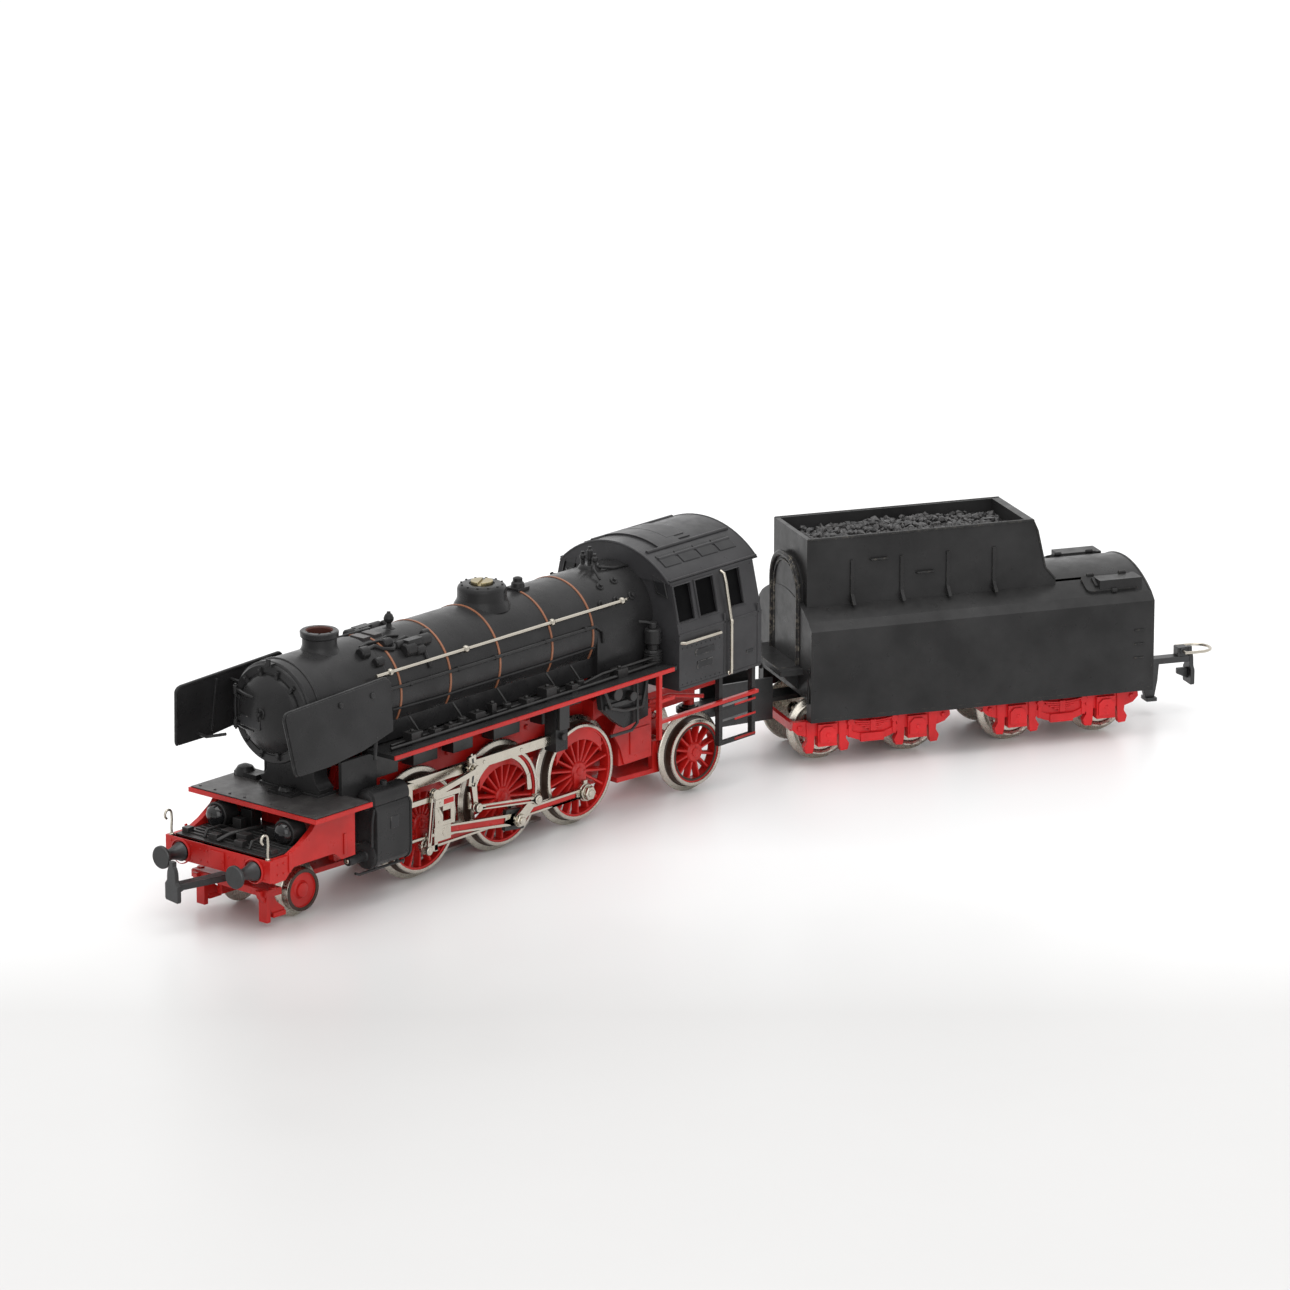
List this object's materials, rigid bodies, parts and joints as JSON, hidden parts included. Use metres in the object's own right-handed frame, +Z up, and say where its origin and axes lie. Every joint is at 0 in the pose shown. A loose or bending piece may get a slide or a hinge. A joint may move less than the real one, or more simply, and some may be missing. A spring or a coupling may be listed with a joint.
{
  "type": "model train",
  "caption": "H0 scale steam locomotive with coal tender: rolling driving wheels with working rods and valve gear, swinging trucks, drawbar, bogies and hook couplers.",
  "frame": {"origin": "centre of the train's outline in plan, on the surface that the wheel flanges stand on", "axes": "+X along the engine towards its buffers, +Y to the engine's left, +Z up"},
  "size_m": [0.2564, 0.0772, 0.054],
  "materials": {
    "black_paint": "satin",
    "red_paint": "satin",
    "nickel": "polished",
    "blackened_steel": "satin",
    "copper_line": "satin",
    "copper_wire": "enamelled",
    "brass": "turned",
    "lens": "clear",
    "coal": "matte",
    "red_plastic": "matte",
    "shoe_steel": "worn"
  },
  "bodies": {
    "locomotive": {"boiler_shell": "black_paint", "smokebox_door": "black_paint", "smoke_deflectors": "black_paint", "steam_dome": "black_paint", "body_screw": "brass", "boiler_fittings": "black_paint", "boiler_bands": "copper_line", "handrails": "nickel", "cab_shell": "black_paint", "running_boards": "black_paint", "valances": "red_paint", "buffer_beam": "red_paint", "buffers": "blackened_steel", "beam_hooks": "nickel", "lamp_housings": "black_paint", "lamp_lenses": "lens", "lamp_bulb": "lens", "main_frame": "red_paint", "cylinders": "black_paint", "motion_brackets": "nickel", "radius_rods": "nickel", "cab_steps": "black_paint", "motor_stator": "blackened_steel", "reversing_relay": "blackened_steel"},
    "armature": {"armature": "copper_wire"},
    "idler_gear": {"idler_gear": "brass"},
    "pickup_shoe": {"pickup_shoe": "shoe_steel"},
    "leading_truck": {"leading_truck": "red_paint"},
    "leading_wheelset": {"leading_wheelset": "nickel"},
    "front_coupler": {"front_coupler": "blackened_steel"},
    "driving_wheelset_1": {"driver_wheels_1": "red_paint"},
    "driving_wheelset_2": {"driver_wheels_2": "red_paint", "return_cranks": "nickel"},
    "driving_wheelset_3": {"driver_wheels_3": "red_paint"},
    "side_rod_left": {"side_rod_left": "nickel"},
    "main_rod_left": {"main_rod_left": "nickel"},
    "crosshead_left": {"crosshead_left": "nickel"},
    "combination_lever_left": {"combination_lever_left": "nickel"},
    "expansion_link_left": {"expansion_link_left": "nickel"},
    "eccentric_rod_left": {"eccentric_rod_left": "nickel"},
    "side_rod_right": {"side_rod_right": "nickel"},
    "main_rod_right": {"main_rod_right": "nickel"},
    "crosshead_right": {"crosshead_right": "nickel"},
    "combination_lever_right": {"combination_lever_right": "nickel"},
    "expansion_link_right": {"expansion_link_right": "nickel"},
    "eccentric_rod_right": {"eccentric_rod_right": "nickel"},
    "trailing_truck": {"trailing_truck": "red_paint"},
    "trailing_wheelset": {"trailing_wheelset": "red_paint"},
    "drawbar": {"drawbar": "black_paint"},
    "tender": {"tender_body": "black_paint", "coal_load": "coal", "tender_frame": "black_paint"},
    "front_bogie": {"front_bogie": "red_plastic"},
    "rear_bogie": {"rear_bogie": "red_plastic"},
    "tender_wheelset_1": {"tender_wheelset_1": "nickel"},
    "tender_wheelset_2": {"tender_wheelset_2": "nickel"},
    "tender_wheelset_3": {"tender_wheelset_3": "nickel"},
    "tender_wheelset_4": {"tender_wheelset_4": "nickel"},
    "rear_coupler": {"rear_coupler": "blackened_steel"},
    "coupler_loop": {"coupler_loop": "nickel"}
  },
  "joints": [
    {"name": "driving_wheels_spin", "type": "hinge", "parent": "locomotive", "child": "driving_wheelset_2", "pos_m": [0.04691, -0.0202, 0.0114], "axis": [0, 1, 0], "continuous": true},
    {"name": "driving_wheels_1_spin", "type": "hinge", "parent": "locomotive", "child": "driving_wheelset_1", "pos_m": [0.07121, -0.0202, 0.0114], "axis": [0, 1, 0], "continuous": true},
    {"name": "driving_wheels_3_spin", "type": "hinge", "parent": "locomotive", "child": "driving_wheelset_3", "pos_m": [0.02391, -0.0202, 0.0114], "axis": [0, 1, 0], "continuous": true},
    {"name": "idler_spin", "type": "hinge", "parent": "locomotive", "child": "idler_gear", "pos_m": [0.0182, -0.0264, 0.02265], "axis": [0, 1, 0], "continuous": true},
    {"name": "armature_spin", "type": "hinge", "parent": "locomotive", "child": "armature", "pos_m": [0.01191, -0.0202, 0.026], "axis": [0, 1, 0], "continuous": true},
    {"name": "side_rod_left_turn", "type": "hinge", "parent": "driving_wheelset_2", "child": "side_rod_left", "pos_m": [0.04691, -0.0094, 0.0074], "axis": [0, 1, 0], "continuous": true},
    {"name": "main_rod_left_turn", "type": "hinge", "parent": "driving_wheelset_2", "child": "main_rod_left", "pos_m": [0.04691, -0.0077, 0.0074], "axis": [0, 1, 0], "continuous": true},
    {"name": "eccentric_rod_left_turn", "type": "hinge", "parent": "driving_wheelset_2", "child": "eccentric_rod_left", "pos_m": [0.04231, -0.0058, 0.0108], "axis": [0, 1, 0], "continuous": true},
    {"name": "crosshead_left_slide", "type": "slide", "parent": "locomotive", "child": "crosshead_left", "axis": [1, 0, 0], "range_m": [-0.00385, 0.0041]},
    {"name": "combination_lever_left_swing", "type": "hinge", "parent": "locomotive", "child": "combination_lever_left", "pos_m": [0.07291, -0.0058, 0.019], "axis": [0, 1, 0], "range_deg": [-21.11, 19.85]},
    {"name": "expansion_link_left_swing", "type": "hinge", "parent": "locomotive", "child": "expansion_link_left", "pos_m": [0.06071, -0.00655, 0.0212], "axis": [0, 1, 0], "range_deg": [-10, 10]},
    {"name": "side_rod_right_turn", "type": "hinge", "parent": "driving_wheelset_2", "child": "side_rod_right", "pos_m": [0.05091, -0.031, 0.0114], "axis": [0, 1, 0], "continuous": true},
    {"name": "main_rod_right_turn", "type": "hinge", "parent": "driving_wheelset_2", "child": "main_rod_right", "pos_m": [0.05091, -0.0327, 0.0114], "axis": [0, 1, 0], "continuous": true},
    {"name": "eccentric_rod_right_turn", "type": "hinge", "parent": "driving_wheelset_2", "child": "eccentric_rod_right", "pos_m": [0.04751, -0.0346, 0.0068], "axis": [0, 1, 0], "continuous": true},
    {"name": "crosshead_right_slide", "type": "slide", "parent": "locomotive", "child": "crosshead_right", "axis": [1, 0, 0], "range_m": [-0.00795, 0]},
    {"name": "combination_lever_right_swing", "type": "hinge", "parent": "locomotive", "child": "combination_lever_right", "pos_m": [0.07291, -0.0346, 0.019], "axis": [0, 1, 0], "range_deg": [-0.5, 40.46]},
    {"name": "expansion_link_right_swing", "type": "hinge", "parent": "locomotive", "child": "expansion_link_right", "pos_m": [0.06071, -0.03385, 0.0212], "axis": [0, 1, 0], "range_deg": [-10, 10]},
    {"name": "leading_truck_swing", "type": "hinge", "parent": "locomotive", "child": "leading_truck", "pos_m": [0.08241, -0.0202, 0.0057], "axis": [0, 0, 1], "range_deg": [-7, 11]},
    {"name": "leading_wheels_spin", "type": "hinge", "parent": "leading_truck", "child": "leading_wheelset", "pos_m": [0.1044, -0.02097, 0.0057], "axis": [0.0349, 0.9994, 0], "continuous": true},
    {"name": "front_coupler_swing", "type": "hinge", "parent": "leading_truck", "child": "front_coupler", "pos_m": [0.1129, -0.02126, 0.009], "axis": [0, 0, 1], "range_deg": [-1, 22]},
    {"name": "trailing_truck_swing", "type": "hinge", "parent": "locomotive", "child": "trailing_truck", "pos_m": [0.01561, -0.0202, 0.0057], "axis": [0, 0, 1], "range_deg": [-2.6, 14.4]},
    {"name": "trailing_wheels_spin", "type": "hinge", "parent": "trailing_truck", "child": "trailing_wheelset", "pos_m": [-0.01005, -0.01755, 0.0085], "axis": [0.1028, 0.9947, 0], "continuous": true},
    {"name": "drawbar_swing", "type": "hinge", "parent": "locomotive", "child": "drawbar", "pos_m": [-0.02109, -0.0202, 0.0127], "axis": [0, 0, 1], "range_deg": [-5.9, 44.1]},
    {"name": "tender_swing", "type": "hinge", "parent": "drawbar", "child": "tender", "pos_m": [-0.04849, -0.01071, 0.0127], "axis": [0, 0, 1], "range_deg": [-4.2, 25.8]},
    {"name": "front_bogie_swing", "type": "hinge", "parent": "tender", "child": "front_bogie", "pos_m": [-0.05664, -0.00602, 0.011], "axis": [0, 0, 1], "range_deg": [-10, 10]},
    {"name": "rear_bogie_swing", "type": "hinge", "parent": "tender", "child": "rear_bogie", "pos_m": [-0.09348, 0.01516, 0.011], "axis": [0, 0, 1], "range_deg": [-10, 10]},
    {"name": "tender_wheels_1_spin", "type": "hinge", "parent": "front_bogie", "child": "tender_wheelset_1", "pos_m": [-0.04797, -0.01101, 0.0069], "axis": [0.4985, 0.8669, 0], "continuous": true},
    {"name": "tender_wheels_2_spin", "type": "hinge", "parent": "front_bogie", "child": "tender_wheelset_2", "pos_m": [-0.06531, -0.00104, 0.0069], "axis": [0.4985, 0.8669, 0], "continuous": true},
    {"name": "tender_wheels_3_spin", "type": "hinge", "parent": "rear_bogie", "child": "tender_wheelset_3", "pos_m": [-0.08481, 0.01018, 0.0069], "axis": [0.4985, 0.8669, 0], "continuous": true},
    {"name": "tender_wheels_4_spin", "type": "hinge", "parent": "rear_bogie", "child": "tender_wheelset_4", "pos_m": [-0.10215, 0.02015, 0.0069], "axis": [0.4985, 0.8669, 0], "continuous": true},
    {"name": "rear_coupler_swing", "type": "hinge", "parent": "tender", "child": "rear_coupler", "pos_m": [-0.10224, 0.0202, 0.0117], "axis": [0, 0, 1], "range_deg": [-8, 8]},
    {"name": "coupler_loop_lift", "type": "hinge", "parent": "rear_coupler", "child": "coupler_loop", "pos_m": [-0.12174, 0.03141, 0.0135], "axis": [0.4985, 0.8669, 0], "range_deg": [0, 60]},
    {"name": "pickup_shoe_press", "type": "slide", "parent": "locomotive", "child": "pickup_shoe", "axis": [0, 0, 1], "range_m": [0, 0.0016], "stiffness_N_per_m": 30, "springref_m": -0.0008}
  ],
  "couplings": [
    {"joint": "driving_wheels_1_spin", "follows": "driving_wheels_spin", "ratio": 1},
    {"joint": "driving_wheels_3_spin", "follows": "driving_wheels_spin", "ratio": 1},
    {"joint": "idler_spin", "follows": "driving_wheels_spin", "ratio": -1.5},
    {"joint": "armature_spin", "follows": "driving_wheels_spin", "ratio": 3.75},
    {"joint": "side_rod_left_turn", "follows": "driving_wheels_spin", "ratio": -1},
    {"joint": "main_rod_left_turn", "follows": "driving_wheels_spin", "ratio": -1},
    {"joint": "eccentric_rod_left_turn", "follows": "driving_wheels_spin", "ratio": -1},
    {"joint": "combination_lever_left_swing", "follows": "crosshead_left_slide", "rad_per_m": -87.719},
    {"joint": "side_rod_right_turn", "follows": "driving_wheels_spin", "ratio": -1},
    {"joint": "main_rod_right_turn", "follows": "driving_wheels_spin", "ratio": -1},
    {"joint": "eccentric_rod_right_turn", "follows": "driving_wheels_spin", "ratio": -1},
    {"joint": "combination_lever_right_swing", "follows": "crosshead_right_slide", "rad_per_m": -87.719}
  ]
}
